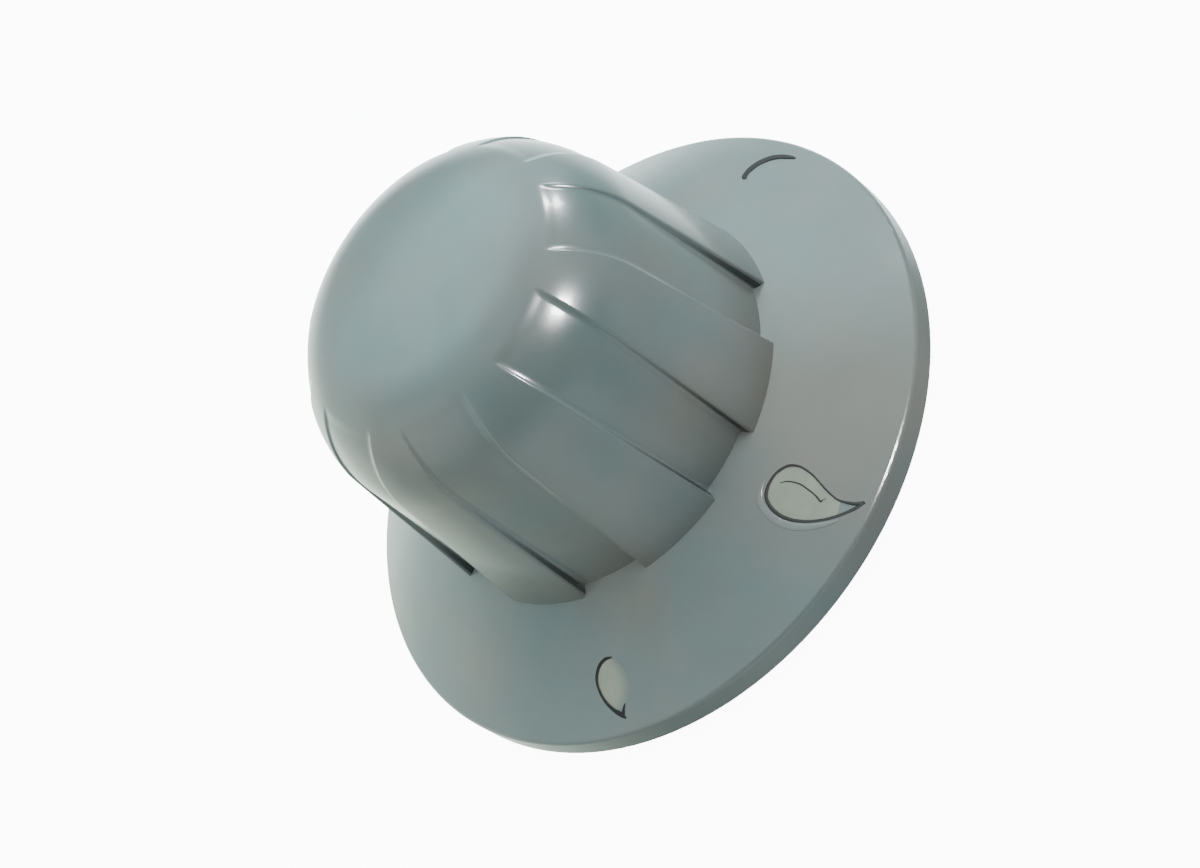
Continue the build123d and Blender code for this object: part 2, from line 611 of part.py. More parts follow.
def brush_tab(x):
    """A terminal blade outside the cap and the brush it carries inside."""
    brush_low, brush_top = MOTOR_TOP - 3.6, MOTOR_TOP - 2.0
    blade = block(TERMINAL_THICK, TERMINAL_WIDTH, MOTOR_TOP - 2.6, MOTOR_TOP + TERMINAL_RISE, at=(x, 0))
    blade -= Pos(x, 0, MOTOR_TOP + TERMINAL_RISE - 1) * Rot(0, 90, 0) * Cylinder(TERMINAL_EYE_R, 2)
    side = 1 if x > 0 else -1
    inner = DRUM_R + 0.06
    reach = abs(x) - inner
    brush = block(reach, TERMINAL_WIDTH, brush_low, brush_top, at=(side * (inner + reach / 2), 0))
    return blade + brush


# ---- fixed frame -------------------------------------------------------
def fixing_places():
    return [polar(FIXING_PCD / 2, 45 + 90 * i) for i in range(4)]


def make_base_plate():
    plate = disc(BASE_R, 0, BASE_THICK)
    plate += tube(BUSH_FLANGE_R + 0.7, BUSH_FLANGE_R + 0.1, BASE_THICK, BASE_THICK + 0.3)
    for at in fixing_places():
        plate += disc(FIXING_BOSS_R, 0, FIXING_BOSS_TOP, at)
    plate += travel_stop()
    plate -= hole(BUSH_R, 0, BASE_THICK)
    plate -= tube(RELIEF_OUTER, RELIEF_INNER, -1, RELIEF_DEPTH)
    plate -= tube(BASE_R + 1, BASE_R - SEAL_WIDTH, -1, SEAL_THICK)
    plate -= block(SOCKET_SIZE[0] + 0.2, SOCKET_SIZE[1] + 0.2, -1, BASE_THICK + 1, at=(SOCKET_X, 0))
    for at in fixing_places():
        plate -= hole(FIXING_R, 0, FIXING_BOSS_TOP, at)
    for angle in PILLAR_ANGLES:
        at = polar(PILLAR_RADIUS, angle)
        plate -= hole(SCREW_CLEAR_R, 0, BASE_THICK, at)
        plate -= disc(BASE_SCREW_POCKET_R, -1, BASE_SCREW_SEAT, at)
    for at in PIN_PLACES:
        plate += disc(PIN_SEAT_R, BASE_THICK, PIN_SEAT_TOP, at)
        plate -= disc(PIN_R, PIN_LOW, PIN_SEAT_TOP + 1, at)
    plate -= disc(SENSOR_SHAFT_R + RUN, SENSOR_SHAFT_LOW - 0.3, BASE_THICK + 1, SENSOR_XY)
    save("base_plate", plate)
    save("base_seal", tube(BASE_R, BASE_R - SEAL_WIDTH, 0, SEAL_THICK))


def travel_stop():
    """Curved lug that the skirt's rib meets at both ends of travel."""
    rib_half = degrees(STOP_RIB / 2 / (STOP_RIB_RADIUS - STOP_RIB / 2))
    half = 180 - TRAVEL - rib_half - STOP_SLACK
    return ring_sector(STOP_OUTER, STOP_INNER, 0, STOP_TOP, -90 - half, -90 + half)


def make_bushes():
    journal = JOURNAL_R + RUN
    lower = tube(BUSH_R, journal, SPINDLE_FOOT, BASE_THICK)
    lower += tube(BUSH_FLANGE_R, journal, BASE_THICK, JOURNAL_TOP)
    save("lower_bush", lower)
    save("thrust_washer", tube(WASHER_R, SPINDLE_R + 0.1, JOURNAL_TOP, JOURNAL_TOP + WASHER_THICK))
    sleeve = SLEEVE_R + RUN
    upper = tube(PLATE_BUSH_R, sleeve, PLATE_Z, PLATE_TOP)
    upper += tube(BUSH_R, sleeve, PLATE_Z - FLANGE_THICK, PLATE_Z)
    save("upper_bush", upper)
    top = tube(PLATE_BUSH_R, sleeve, BRIDGE_Z, BRIDGE_TOP)
    top += tube(BRIDGE_FLANGE_R, sleeve, BRIDGE_TOP, BRIDGE_TOP + FLANGE_THICK)
    save("top_bush", top)


def make_gear_plate():
    plate = tube(PLATE_R, PLATE_BUSH_R, PLATE_Z, PLATE_TOP)
    holes = [(PIN_R, at) for at in PIN_PLACES]
    holes += [(SENSOR_SHAFT_R + RUN, SENSOR_XY), (PLATE_MOTOR_HOLE_R, MOTOR_XY)]
    holes += [(SCREW_CLEAR_R, at) for at in motor_screw_places()]
    holes += [(SCREW_CLEAR_R, polar(PILLAR_RADIUS, angle)) for angle in PILLAR_ANGLES]
    holes += [(SCREW_CLEAR_R, polar(POST_RADIUS, angle)) for angle in POST_ANGLES]
    holes += [(PILOT_R, polar(SPACER_RADIUS, angle)) for angle in SPACER_ANGLES]
    for radius, at in holes:
        plate -= hole(radius, PLATE_Z, PLATE_TOP, at)
    slot = (3.4, SOCKET_SIZE[1] - 2.6)
    plate -= block(*slot, PLATE_Z - 1, PLATE_TOP + 1, at=(SOCKET_X, 0))
    save("gear_plate", plate)
    pins = [disc(PIN_R, PIN_LOW, PLATE_TOP, at) for at in PIN_PLACES]
    save("gear_pins", Compound(children=pins))
    tip = PLATE_TOP + 0.7
    screws = [screw(SMALL_SCREW_R, 1.5, 0.5, PLATE_Z, tip, at, 0.4) for at in motor_screw_places()]
    save("motor_screws", Compound(children=screws))


def make_plate_pillars():
    pillars, lower, upper = [], [], []
    for angle in PILLAR_ANGLES:
        at = polar(PILLAR_RADIUS, angle)
        pillars.append(tube(PILLAR_R, SCREW_R, BASE_THICK, PLATE_Z, at))
        lower.append(screw(SCREW_R, 2.1, 1.1, BASE_SCREW_SEAT, 6.5, at))
        upper.append(screw(SCREW_R, 2.0, 1.3, PLATE_TOP, 8.5, at))
    save("plate_pillars", Compound(children=pillars))
    save("base_screws", Compound(children=lower))
    save("plate_screws", Compound(children=upper))


def make_bridge():
    bridge = disc(BRIDGE_HUB_R, BRIDGE_Z, BRIDGE_TOP)
    posts, screws = [], []
    for angle in POST_ANGLES:
        at = polar(POST_RADIUS, angle)
        middle = polar(POST_RADIUS / 2, angle)
        bridge += block(POST_RADIUS, BRIDGE_ARM, BRIDGE_Z, BRIDGE_TOP, middle, angle)
        bridge += disc(BRIDGE_END_R, BRIDGE_Z, BRIDGE_TOP, at)
        post = Pos(*at, PLATE_TOP) * extrude(RegularPolygon(POST_R, 6), BRIDGE_Z - PLATE_TOP)
        post += disc(SCREW_CLEAR_R, PLATE_Z, PLATE_TOP, at)
        posts.append(post - disc(SCREW_R, BRIDGE_Z - POST_SCREW_DEPTH - 2, BRIDGE_Z + 1, at))
        screws.append(screw(SCREW_R, 1.9, 1.3, BRIDGE_TOP, BRIDGE_Z - POST_SCREW_DEPTH, at))
    bridge -= hole(PLATE_BUSH_R, BRIDGE_Z, BRIDGE_TOP)
    for angle in POST_ANGLES:
        bridge -= hole(SCREW_CLEAR_R, BRIDGE_Z, BRIDGE_TOP, polar(POST_RADIUS, angle))
    save("top_bridge", bridge)
    save("bridge_posts", Compound(children=posts))
    save("bridge_screws", Compound(children=screws))


# ---- electronics -------------------------------------------------------
def contact_places():
    return [(SOCKET_X, y) for y in (-CONTACT_PITCH, 0, CONTACT_PITCH)]


def make_control_board():
    board = ring_sector(BOARD_OUTER, BOARD_INNER, BOARD_Z, BOARD_TOP, BOARD_START, BOARD_JOIN)
    board += ring_sector(BOARD_OUTER, BOARD_INNER, BOARD_Z, BOARD_TOP, BOARD_JOIN - 1, BOARD_STOP)
    holes = [(POST_R + 0.4, polar(POST_RADIUS, POST_ANGLES[1])), (SENSOR_SHAFT_R + 0.3, SENSOR_XY)]
    holes += [(SCREW_CLEAR_R, polar(SPACER_RADIUS, angle)) for angle in SPACER_ANGLES]
    holes += [(CONTACT_R + 0.05, at) for at in contact_places()]
    for radius, at in holes:
        board -= hole(radius, BOARD_Z, BOARD_TOP, at)
    save("control_board", board)
    spacers, screws = [], []
    for angle in SPACER_ANGLES:
        at = polar(SPACER_RADIUS, angle)
        spacers.append(tube(SPACER_R, SPACER_BORE_R, PLATE_TOP, BOARD_Z, at))
        screws.append(screw(SMALL_SCREW_R, 1.6, 1.1, BOARD_TOP, PLATE_Z + 0.3, at))
    save("board_spacers", Compound(children=spacers))
    save("board_screws", Compound(children=screws))


def chip(size, thick, legs, turn, at):
    """A leaded package; legs lists the place and size of each leg."""
    body = block(*size, BOARD_TOP + 0.2, BOARD_TOP + 0.2 + thick)
    for place, foot in legs:
        body += block(*foot, BOARD_TOP, BOARD_TOP + 0.8, at=place)
    return Pos(*at, 0) * Rot(0, 0, turn) * body


def make_board_parts():
    sensor_top = BOARD_TOP + SENSOR_BODY_RISE
    sensor = block(SENSOR_BODY, SENSOR_BODY, BOARD_TOP, sensor_top, at=SENSOR_XY)
    save("position_sensor", sensor - hole(SENSOR_SHAFT_R + RUN, BOARD_TOP, sensor_top, SENSOR_XY))
    steps = (-2.4, -0.8, 0.8, 2.4)
    reach = CHIP_SIZE / 2 + 0.4
    legs = [((side * reach, step), (1.4, 0.4)) for side in (-1, 1) for step in steps]
    legs += [((step, side * reach), (0.4, 1.4)) for side in (-1, 1) for step in steps]
    chip_at = polar(CHIP_RADIUS, CHIP_ANGLE)
    save("control_chip", chip((CHIP_SIZE, CHIP_SIZE), 1.4, legs, CHIP_ANGLE - 90, chip_at))
    reach = DRIVER_SIZE[1] / 2 + 0.4
    steps = (-2.1, -0.7, 0.7, 2.1)
    legs = [((step, side * reach), (0.5, 1.2)) for side in (-1, 1) for step in steps]
    driver_at = polar(DRIVER_RADIUS, DRIVER_ANGLE)
    save("motor_driver_chip", chip(DRIVER_SIZE, 1.4, legs, DRIVER_ANGLE - 180, driver_at))
    capacitor_at = polar(CAPACITOR_RADIUS, CAPACITOR_ANGLE)
    save("board_capacitor", disc(CAPACITOR_R, BOARD_TOP, BOARD_TOP + CAPACITOR_RISE, capacitor_at))


def make_cable_socket():
    cavity = [size - 2 * SOCKET_WALL for size in SOCKET_SIZE]
    housing = block(*SOCKET_SIZE, SOCKET_LOW, SOCKET_TOP, at=(SOCKET_X, 0))
    housing -= block(*cavity, SOCKET_LOW - 1, SOCKET_CAVITY_TOP, at=(SOCKET_X, 0))
    contacts = []
    for at in contact_places():
        housing -= hole(CONTACT_R, SOCKET_CAVITY_TOP, SOCKET_TOP, at)
        contacts.append(disc(CONTACT_R, CONTACT_LOW, BOARD_TOP + 0.8, at))
    save("cable_socket", housing)
    save("socket_contacts", Compound(children=contacts))


make_grip_shell()
make_dial_skirt()
make_marks()
make_dial_screws()
make_drive_core()
make_output_gear()
make_second_stage_gear()
make_first_stage_gear()
make_motor_drive()
make_sensor_gear()
make_spindle()
make_motor()
make_base_plate()
make_bushes()
make_gear_plate()
make_plate_pillars()
make_bridge()
make_control_board()
make_board_parts()
make_cable_socket()
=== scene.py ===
import bpy
import json
from math import asin, atan2, cos, hypot, pi, radians, sin, sqrt
from mathutils import Matrix, Vector


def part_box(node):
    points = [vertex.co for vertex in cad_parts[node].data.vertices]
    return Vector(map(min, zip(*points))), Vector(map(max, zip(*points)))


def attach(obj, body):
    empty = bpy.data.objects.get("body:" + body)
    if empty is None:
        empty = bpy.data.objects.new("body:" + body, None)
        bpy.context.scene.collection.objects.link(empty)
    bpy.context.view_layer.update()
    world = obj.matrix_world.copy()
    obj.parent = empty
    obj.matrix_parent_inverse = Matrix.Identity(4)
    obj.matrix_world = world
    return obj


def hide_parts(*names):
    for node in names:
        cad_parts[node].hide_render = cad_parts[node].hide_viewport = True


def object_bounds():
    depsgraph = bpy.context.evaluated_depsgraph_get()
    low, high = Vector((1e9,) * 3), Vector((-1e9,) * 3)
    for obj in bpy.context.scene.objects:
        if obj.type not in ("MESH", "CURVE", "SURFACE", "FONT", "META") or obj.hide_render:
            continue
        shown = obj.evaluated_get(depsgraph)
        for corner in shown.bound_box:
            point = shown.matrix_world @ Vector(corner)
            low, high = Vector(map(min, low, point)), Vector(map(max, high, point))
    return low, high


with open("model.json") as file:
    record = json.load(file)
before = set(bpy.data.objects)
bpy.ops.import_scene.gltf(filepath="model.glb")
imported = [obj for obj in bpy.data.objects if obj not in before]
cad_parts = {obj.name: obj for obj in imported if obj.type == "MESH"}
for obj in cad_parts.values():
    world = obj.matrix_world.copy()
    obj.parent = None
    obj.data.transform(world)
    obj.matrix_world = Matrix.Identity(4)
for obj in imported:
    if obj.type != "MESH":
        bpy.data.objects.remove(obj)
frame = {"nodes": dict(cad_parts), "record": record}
CAD_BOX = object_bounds()
NODES = frame["nodes"]
MM = 0.001

# ---- the dial's driving dimensions, in millimetres above its own rim ---
DIAL_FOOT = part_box("dial_skirt")[0].z / MM
SKIRT_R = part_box("dial_skirt")[1].x / MM
RIM_HEIGHT = 3.7
SKIRT_CROWN = 0.45
GRIP_BASE = (31.85, 12.6)
WALL_TOP = (28.5, 39.9)
SHOULDER_R = 17.25
FACE_CROWN_R = 68.0
GRIP_WALL = 3.4
FLUTES = 8
FLUTE_WIDTH, FLUTE_WIDTH_TOP = 10.6, 11.6
FLUTE_DEPTH, FLUTE_DEPTH_TOP, FLUTE_DEPTH_END = 1.7, 0.42, 0.16
FLUTE_END_R = 22.35
FLUTE_FADE = 1.6          # length over which a flute's floor comes up
FLUTE_SOFT = 0.6          # width of a flute's rounded side
FLUTE_BEND = 2.4          # how much of that rounding is at its outer edge
BURIED = 0.3              # how far the grip's foot runs below the skirt's face
LINING_FOOT = 0.6         # how far the grip's inside steps out at its foot

# ---- shade painted into the grip, from 0 (its own colour) to 1 (dark) ---
FOOT_SHADE = 0.30          # painted shade towards the grip's foot
FOOT_TOP, FOOT_RISE = 27.0, 15.0
CREASE_SHADE = 0.85             # painted shade on a flute's sides, where they are deepest
CREASE_FROM, CREASE_RISE = 0.5, 1.1
CREASE_STARTS = 0.3       # share of a side's depth above which it stays plain

# ---- view: from the front and above, rolled to one side ----------------
CAMERA_AT = Vector((-0.680, -5.818, 5.450)) * SKIRT_R * MM + Vector((0, 0, DIAL_FOOT * MM))
CAMERA_RIGHT = Vector((0.4948, -0.6111, -0.6175))
CAMERA_UP = Vector((0.8653, 0.2831, 0.4130))
LENS = 79.3
SENSOR = 36.0
CLIP_START = 0.01


def add_camera():
    right = CAMERA_RIGHT.normalized()
    up = (CAMERA_UP - right * CAMERA_UP.dot(right)).normalized()
    turn = Matrix((right, up, right.cross(up))).transposed().to_4x4()
    data = bpy.data.cameras.new("camera")
    data.lens = LENS
    data.sensor_width = SENSOR
    data.clip_start = CLIP_START
    camera = bpy.data.objects.new("camera", data)
    camera.matrix_world = Matrix.Translation(CAMERA_AT) @ turn
    bpy.context.scene.collection.objects.link(camera)
    bpy.context.scene.camera = camera


# ---- materials ---------------------------------------------------------
IOR = 1.48                # of every plastic here
PATCH = 0.012             # size of a plastic's clouds, in metres
GRAIN, GRAIN_DEPTH = 0.0004, 0.00001
CLOUD_VARIES = 0.06
METAL_PATCH = 0.004
METAL_GRAIN, METAL_DEPTH = 0.0006, 0.000008

DIAL_COOL = (0.278, 0.355, 0.355)
DIAL_WARM = (0.385, 0.352, 0.315)
WARM_AT = (0.0135, -0.0375, 0.010)     # middle of a warmer patch on the skirt's front
WARM_REACH = 0.030
WARM_RISE = 0.45          # how much warmer the patch's middle is than its edge
COOL_STOP = 0.35
DIAL_MEAN = (0.305, 0.353, 0.342)
DIAL_SHADE = (0.012, 0.018, 0.018, 1)   # colour of the painted shade in creases and at the grip's foot
DIAL_PATCHES = 0.016, 0.011, 0.006     # sizes of its tint, cloud and gloss patches
DIAL_CLOUD = (0.93, 0.93, 0.93)
DIAL_ROUGH = 0.19, 0.262               # a range that crosses 0.27 renders with flecks
DIAL_GRAIN, DIAL_GRAIN_DEPTH = 0.0005, 0.000004
DIAL_COAT, DIAL_COAT_ROUGH = 0.25, 0.09
# lighter copy of the dial plastic for the flame mark's lip: a painted highlight
LIP_HIGHLIGHT = 1.18

CREAM_DARK, CREAM_LIGHT = (0.46, 0.48, 0.38), (0.54, 0.56, 0.45)
CREAM_ROUGH = 0.34, 0.46
CREAM_PATCH, CREAM_GLOSS_PATCH = 0.0025, 0.001
CREAM_GRAIN, CREAM_GRAIN_DEPTH = 0.0003, 0.000006
# near-black beads in the flame marks' grooves: painted shade
LINE_SHADE_COLOUR, LINE_ROUGH = (0.006, 0.009, 0.009), 0.7

NOISE_LOW, NOISE_HIGH = 0.3, 0.7       # the part of a noise's range that shows


class Nodes:
    """Short calls for building one material's node tree."""

    def __init__(self, name):
        self.material = bpy.data.materials.new(name)
        self.material.use_nodes = True
        self.tree = self.material.node_tree
        self.shader = self.tree.nodes["Principled BSDF"]
        self.place = self.add("ShaderNodeTexCoord").outputs["Object"]

    def add(self, kind, **values):
        node = self.tree.nodes.new(kind)
        for key, value in values.items():
            setattr(node, key, value)
        return node

    def link(self, output, socket):
        self.tree.links.new(output, socket)

    def noise(self, size, detail=3.0, rough=0.5, stretch=(1, 1, 1)):
        mapping = self.add("ShaderNodeMapping")
        mapping.inputs["Scale"].default_value = stretch
        self.link(self.place, mapping.inputs["Vector"])
        node = self.add("ShaderNodeTexNoise")
        node.inputs["Scale"].default_value = 1 / size
        node.inputs["Detail"].default_value = detail
        node.inputs["Roughness"].default_value = rough
        self.link(mapping.outputs["Vector"], node.inputs["Vector"])
        return node.outputs["Fac"]

    def blotches(self, size, dark, light):
        return self.ramp(self.noise(size), [(NOISE_LOW, dark), (NOISE_HIGH, light)])

    def ramp(self, factor, stops):
        node = self.add("ShaderNodeValToRGB")
        elements = node.color_ramp.elements
        while len(elements) < len(stops):
            elements.new(0.5)
        for element, (at, colour) in zip(elements, stops):
            element.position = at
            element.color = (*colour, 1)
        self.link(factor, node.inputs["Fac"])
        return node.outputs["Color"]

    def spread(self, factor, low, high):
        node = self.add("ShaderNodeMapRange")
        node.inputs["To Min"].default_value = low
        node.inputs["To Max"].default_value = high
        node.inputs["From Min"].default_value = NOISE_LOW
        node.inputs["From Max"].default_value = NOISE_HIGH
        self.link(factor, node.inputs["Value"])
        return node.outputs["Result"]

    def near(self, centre, reach, noise):
        """Noise that rises towards a point, within its reach."""
        away = self.add("ShaderNodeVectorMath", operation="DISTANCE")
        self.link(self.place, away.inputs[0])
        away.inputs[1].default_value = centre
        rise = self.add("ShaderNodeMapRange", interpolation_type="SMOOTHSTEP")
        rise.inputs["From Max"].default_value = reach
        rise.inputs["To Min"].default_value = WARM_RISE
        rise.inputs["To Max"].default_value = 0.0
        self.link(away.outputs["Value"], rise.inputs["Value"])
        both = self.add("ShaderNodeMath", operation="ADD")
        self.link(rise.outputs["Result"], both.inputs[0])
        self.link(noise, both.inputs[1])
        return both.outputs["Value"]

    def mix(self, blend, factor, first, second):
        node = self.add("ShaderNodeMix", data_type="RGBA", blend_type=blend)
        if factor is None:
            node.inputs["Factor"].default_value = 1.0
        else:
            self.link(factor, node.inputs["Factor"])
        for value, socket in ((first, node.inputs[6]), (second, node.inputs[7])):
            if isinstance(value, tuple):
                socket.default_value = value
            else:
                self.link(value, socket)
        return node.outputs[2]

    def bump(self, factor, depth):
        node = self.add("ShaderNodeBump")
        node.inputs["Distance"].default_value = depth
        node.inputs["Strength"].default_value = 1.0
        self.link(factor, node.inputs["Height"])
        self.link(node.outputs["Normal"], self.shader.inputs["Normal"])

    def set(self, **values):
        for key, value in values.items():
            self.shader.inputs[key.replace("_", " ")].default_value = value


def plastic(name, colour, rough):
    """Moulded plastic: a little cloudiness, uneven gloss and fine grain."""
    m = Nodes(name)
    dark = [c * (1 - CLOUD_VARIES) for c in colour]
    light = [min(1, c * (1 + CLOUD_VARIES)) for c in colour]
    m.link(m.blotches(PATCH, dark, light), m.shader.inputs["Base Color"])
    gloss = m.spread(m.noise(PATCH * 0.4), rough - 0.04, rough + 0.05)
    m.link(gloss, m.shader.inputs["Roughness"])
    m.bump(m.noise(GRAIN, 2.0), GRAIN_DEPTH)
    m.set(IOR=IOR)
    return m.material


def metal(name, colour, rough, stretch):
    """Turned, drawn or plated metal with a grain along one direction."""
    m = Nodes(name)
    dark = [c * 0.85 for c in colour]
    m.link(m.blotches(METAL_PATCH, dark, colour), m.shader.inputs["Base Color"])
    streak = m.noise(METAL_GRAIN, 3.0, 0.6, stretch)
    m.link(m.spread(streak, rough - 0.08, rough + 0.1), m.shader.inputs["Roughness"])
    m.bump(streak, METAL_DEPTH)
    m.set(Metallic=1.0)
    return m.material


def dial_plastic(name="dial_plastic", tone=1.0):
    """Satin grey plastic: clouded tone, warm and cool patches, painted shade in creases and at the
    grip's foot; a tone above 1 makes a lighter copy, a painted highlight.
    """
    m = Nodes(name)
    tint_patch, cloud_patch, gloss_patch = DIAL_PATCHES
    warmth = m.near(WARM_AT, WARM_REACH, m.noise(tint_patch, 2.0))
    stops = ((COOL_STOP, DIAL_COOL), (1.0, DIAL_WARM))
    tint = m.ramp(warmth, [(at, [c * tone for c in colour]) for at, colour in stops])
    cloud = m.blotches(cloud_patch, DIAL_CLOUD, (1, 1, 1))
    colour = m.mix("MULTIPLY", None, tint, cloud)
    # painted shade: the grip's per-point attribute darkens the colour here
    painted_shade = m.add("ShaderNodeAttribute", attribute_name="painted_shade").outputs["Fac"]
    colour = m.mix("MIX", painted_shade, colour, DIAL_SHADE)
    m.link(colour, m.shader.inputs["Base Color"])
    m.link(m.spread(m.noise(gloss_patch), *DIAL_ROUGH), m.shader.inputs["Roughness"])
    m.bump(m.noise(DIAL_GRAIN, 2.0), DIAL_GRAIN_DEPTH)
    m.set(IOR=IOR, Coat_Weight=DIAL_COAT, Coat_Roughness=DIAL_COAT_ROUGH)
    return m.material


def mark_cream(name, centre, near, far):
    """Cream inlay that gives way to the dial's own grey away from a point."""
    m = Nodes(name)
    cream = m.blotches(CREAM_PATCH, CREAM_DARK, CREAM_LIGHT)
    away = m.add("ShaderNodeVectorMath", operation="DISTANCE")
    m.link(m.place, away.inputs[0])
    away.inputs[1].default_value = centre
    fade = m.add("ShaderNodeMapRange")
    fade.inputs["From Min"].default_value = near * MM
    fade.inputs["From Max"].default_value = far * MM
    m.link(away.outputs["Value"], fade.inputs["Value"])
    colour = m.mix("MIX", fade.outputs["Result"], cream, (*DIAL_MEAN, 1))
    m.link(colour, m.shader.inputs["Base Color"])
    m.link(m.spread(m.noise(CREAM_GLOSS_PATCH), *CREAM_ROUGH), m.shader.inputs["Roughness"])
    m.bump(m.noise(CREAM_GRAIN, 2.0), CREAM_GRAIN_DEPTH)
    m.set(IOR=IOR)
    return m.material


PLASTICS = {
    "frame_plastic": ((0.035, 0.038, 0.042), 0.5),
    "gear_acetal": ((0.72, 0.70, 0.63), 0.35),
    "gear_blue": ((0.05, 0.13, 0.26), 0.35),
    "ferrite": ((0.03, 0.03, 0.033), 0.6),
    "board_green": ((0.012, 0.10, 0.045), 0.3),
    "chip_black": ((0.012, 0.012, 0.014), 0.45),
    "seal_rubber": ((0.02, 0.02, 0.02), 0.85),
    "socket_white": ((0.70, 0.68, 0.60), 0.4),
}
METALS = {
    "brass": ((0.72, 0.52, 0.24), 0.28, (1, 1, 20)),
    "zinc_steel": ((0.62, 0.63, 0.64), 0.32, (1, 1, 1)),
    "spring_steel": ((0.45, 0.45, 0.47), 0.25, (1, 1, 12)),
    "laminated_iron": ((0.30, 0.29, 0.28), 0.45, (1, 1, 60)),
    "copper": ((0.75, 0.38, 0.22), 0.3, (1, 1, 1)),
}


def make_materials():
    made = {"dial_plastic": dial_plastic()}
    # near-black beads: painted shade in the flame marks' grooves
    made["mark_line_shade"] = plastic("mark_line_shade", LINE_SHADE_COLOUR, LINE_ROUGH)
    # a lighter copy of the dial plastic: a painted highlight on the lip
    made["mark_lip_highlight"] = dial_plastic("mark_lip_highlight", LIP_HIGHLIGHT)
    for name, (colour, rough) in PLASTICS.items():
        made[name] = plastic(name, colour, rough)
    for name, (colour, rough, stretch) in METALS.items():
        made[name] = metal(name, colour, rough, stretch)
    return made


def dress_cad(materials):
    """Every carried-over CAD node gets the material of its own slot."""
    for row in frame["record"]["subparts"]:
        node = NODES[row["node"]]
        node.data.materials.clear()
        node.data.materials.append(materials.get(row["node"]) or materials[row["material_slot"]])


# ---- meshes ------------------------------------------------------------
def add_piece(name, vertices, faces, material, body):
    mesh = bpy.data.meshes.new(name)
    mesh.from_pydata(vertices, [], faces)
    mesh.validate()
    mesh.polygons.foreach_set("use_smooth", [True] * len(mesh.polygons))
    mesh.materials.append(material)
    piece = bpy.data.objects.new(name, mesh)
    bpy.context.scene.collection.objects.link(piece)
    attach(piece, body)
    return piece


def ring_faces(rows, columns):
    """Quads between rows of points, each row closed on itself."""
    faces = []
    for i in range(rows - 1):
        low, high = i * columns, (i + 1) * columns
        for j in range(columns):
            k = (j + 1) % columns
            faces.append((low + j, low + k, high + k, high + j))
    return faces


def smoothstep(t):
    t = min(1.0, max(0.0, t))
    return t * t * (3 - 2 * t)


# ---- fluted grip -------------------------------------------------------
WALL_RUN = (WALL_TOP[0] - GRIP_BASE[0], WALL_TOP[1] - GRIP_BASE[1])
WALL_LENGTH = hypot(*WALL_RUN)
OUTWARD = (WALL_RUN[1] / WALL_LENGTH, -WALL_RUN[0] / WALL_LENGTH)
SHOULDER_AT = (WALL_TOP[0] - SHOULDER_R * OUTWARD[0], WALL_TOP[1] - SHOULDER_R * OUTWARD[1])
CROWN_Z = SHOULDER_AT[1] - sqrt((FACE_CROWN_R - SHOULDER_R) ** 2 - SHOULDER_AT[0] ** 2)
WALL_TILT = atan2(OUTWARD[1], OUTWARD[0])
FACE_TILT = atan2(SHOULDER_AT[1] - CROWN_Z, SHOULDER_AT[0])


def skirt_height(radius):
    share = (SKIRT_R - radius) / (SKIRT_R - GRIP_BASE[0])
    return RIM_HEIGHT + (GRIP_BASE[1] - RIM_HEIGHT) * share + 4 * SKIRT_CROWN * share * (1 - share)


def flute_width(height):
    share = (height - GRIP_BASE[1]) / WALL_RUN[1]
    return FLUTE_WIDTH + (FLUTE_WIDTH_TOP - FLUTE_WIDTH) * min(share, 1.0)


def wall_row(share):
    """Radius, height, outward direction and flute depth on the wall."""
    radius = GRIP_BASE[0] + WALL_RUN[0] * share
    height = GRIP_BASE[1] + WALL_RUN[1] * share
    return radius, height, OUTWARD, FLUTE_DEPTH + (FLUTE_DEPTH_TOP - FLUTE_DEPTH) * share


def shoulder_row(share):
    tilt = WALL_TILT + (FACE_TILT - WALL_TILT) * share
    way = (cos(tilt), sin(tilt))
    radius = SHOULDER_AT[0] + SHOULDER_R * way[0]
    run = max(0.0, (WALL_TOP[0] - radius) / (WALL_TOP[0] - FLUTE_END_R))
    depth = FLUTE_DEPTH_TOP + (FLUTE_DEPTH_END - FLUTE_DEPTH_TOP) * min(1.0, run)
    depth *= smoothstep((radius - FLUTE_END_R) / FLUTE_FADE + 0.5)
    return radius, SHOULDER_AT[1] + SHOULDER_R * way[1], way, depth


def face_row(share):
    tilt = FACE_TILT + (pi / 2 - FACE_TILT) * share
    way = (cos(tilt), sin(tilt))
    return FACE_CROWN_R * way[0], CROWN_Z + FACE_CROWN_R * way[1], way, 0.0


def outer_rows():
    wall_rows, shoulder_rows, face_rows = 26, 64, 26
    rows = [wall_row(-BURIED / WALL_RUN[1])]
    rows += [wall_row(i / wall_rows) for i in range(wall_rows)]
    rows += [shoulder_row(i / shoulder_rows) for i in range(shoulder_rows)]
    rows += [face_row(i / face_rows) for i in range(face_rows)]
    return rows


def sector_columns(radius, height):
    """Angles across one flute's eighth, with how far each is sunk."""
    land, side, floor = 9, 8, 14
    end_height = shoulder_row(1.0)[1]
    edge = asin(flute_width(min(height, end_height)) / 2 / max(radius, FLUTE_END_R))
    soft = FLUTE_SOFT / 2 / max(radius, FLUTE_END_R)
    half = pi / FLUTES
    columns = [(-half + (half - edge - soft) * j / land, 0.0) for j in range(land)]
    columns += [(-edge - soft + 2 * soft * j / side, (j / side) ** FLUTE_BEND) for j in range(side)]
    columns += [((edge - soft) * (2 * j / floor - 1), 1.0) for j in range(floor)]
    columns += [(edge - soft + 2 * soft * j / side, (1 - j / side) ** FLUTE_BEND) for j in range(side)]
    columns += [(edge + soft + (half - edge - soft) * j / land, 0.0) for j in range(land)]
    return columns


